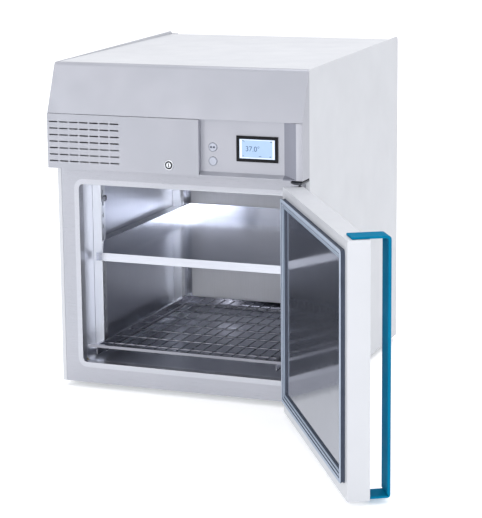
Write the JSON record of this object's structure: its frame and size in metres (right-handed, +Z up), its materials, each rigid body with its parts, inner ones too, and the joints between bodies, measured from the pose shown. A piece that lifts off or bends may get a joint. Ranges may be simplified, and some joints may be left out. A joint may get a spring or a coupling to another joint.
{
  "type": "laboratory incubator",
  "caption": "Insulated benchtop incubator: stainless chamber with shelf and pull-out tray, sloped control hood, and a side-hinged front door standing open.",
  "frame": {"origin": "middle of the cabinet, on the plane its four feet stand on", "axes": "+Z up, +Y from the door's side back into the cabinet, +X to the right as one faces the front"},
  "size_m": [1.1072, 1.4308, 0.899],
  "materials": {
    "white_enamel": "satin",
    "silver_enamel": "satin",
    "stainless": "gloss",
    "polished_panel": "polished",
    "galvanised": "satin",
    "dark_metal": "satin",
    "handle_blue": "gloss",
    "seal_rubber": "matte",
    "foot_rubber": "matte",
    "grey_frame": "satin",
    "black_plastic": "satin",
    "screen": "gloss",
    "button_grey": "satin",
    "insulation_foam": "matte",
    "circuit_board": "satin",
    "bush_brass": "satin"
  },
  "bodies": {
    "cabinet": {"side_panel_left": "white_enamel", "side_panel_right": "white_enamel", "top_cover": "white_enamel", "rear_panel": "galvanised", "base_tray": "galvanised", "front_frame": "silver_enamel", "front_bulkhead": "galvanised", "foot_front_left": "foot_rubber", "foot_front_right": "foot_rubber", "foot_rear_left": "foot_rubber", "foot_rear_right": "foot_rubber", "hood_shell": "silver_enamel", "vent_panel": "silver_enamel", "control_panel": "silver_enamel", "display_bezel": "black_plastic", "display_screen": "screen", "display_module": "black_plastic", "lock_housing": "stainless", "chamber_liner": "stainless", "chamber_insulation": "insulation_foam", "rear_baffle": "stainless", "front_upright_left": "stainless", "front_upright_right": "stainless", "rear_upright_left": "stainless", "rear_upright_right": "stainless", "shelf_rail_left": "stainless", "shelf_rail_right": "stainless", "tray_rail_left": "stainless", "tray_rail_right": "stainless", "heater_element": "dark_metal", "motor_mount": "galvanised", "fan_motor": "dark_metal", "temperature_sensor": "stainless", "electronics_shelf": "galvanised", "power_supply": "galvanised", "control_board": "circuit_board", "mains_inlet": "black_plastic", "top_hinge_bracket": "dark_metal", "bottom_hinge_bracket": "dark_metal"},
    "door": {"door_shell": "white_enamel", "door_insulation": "insulation_foam", "top_hinge_bush": "bush_brass", "bottom_hinge_bush": "bush_brass", "door_seal": "seal_rubber", "inner_panel_frame": "grey_frame", "inner_panel": "polished_panel", "door_handle": "handle_blue"},
    "fan": {"fan_impeller": "galvanised"},
    "lock": {"lock_barrel": "stainless", "lock_cam": "dark_metal"},
    "upper_button": {"upper_button": "button_grey"},
    "lower_button": {"lower_button": "button_grey"},
    "shelf": {"upper_shelf": "stainless"},
    "tray": {"lower_tray": "stainless"},
    "left_runner": {"tray_runner_left": "galvanised"},
    "right_runner": {"tray_runner_right": "galvanised"}
  },
  "joints": [
    {"name": "door_hinge", "type": "hinge", "parent": "cabinet", "child": "door", "pos_m": [0.348, -0.4395, 0.015], "axis": [0, 0, 1], "range_deg": [-121.6, 13.4]},
    {"name": "fan_spin", "type": "hinge", "parent": "cabinet", "child": "fan", "pos_m": [0, 0.32, 0.315], "axis": [0, 1, 0], "continuous": true},
    {"name": "lock_turn", "type": "hinge", "parent": "cabinet", "child": "lock", "pos_m": [-0.0075, -0.439, 0.631], "axis": [0, 1, 0], "range_deg": [0, 90]},
    {"name": "upper_button_press", "type": "slide", "parent": "cabinet", "child": "upper_button", "axis": [0, 1, 0], "range_m": [0, 0.0012], "stiffness_N_per_m": 400},
    {"name": "lower_button_press", "type": "slide", "parent": "cabinet", "child": "lower_button", "axis": [0, 1, 0], "range_m": [0, 0.0012], "stiffness_N_per_m": 400},
    {"name": "shelf_slide", "type": "slide", "parent": "cabinet", "child": "shelf", "axis": [0, -1, 0], "range_m": [0, 0.4]},
    {"name": "tray_slide", "type": "slide", "parent": "cabinet", "child": "tray", "axis": [0, -1, 0], "range_m": [-0.065, 0.35]},
    {"name": "left_runner_slide", "type": "slide", "parent": "cabinet", "child": "left_runner", "axis": [0, -1, 0], "range_m": [-0.0325, 0.175]},
    {"name": "right_runner_slide", "type": "slide", "parent": "cabinet", "child": "right_runner", "axis": [0, -1, 0], "range_m": [-0.0325, 0.175]}
  ],
  "couplings": [
    {"joint": "left_runner_slide", "follows": "tray_slide", "ratio": 0.5},
    {"joint": "right_runner_slide", "follows": "tray_slide", "ratio": 0.5}
  ]
}
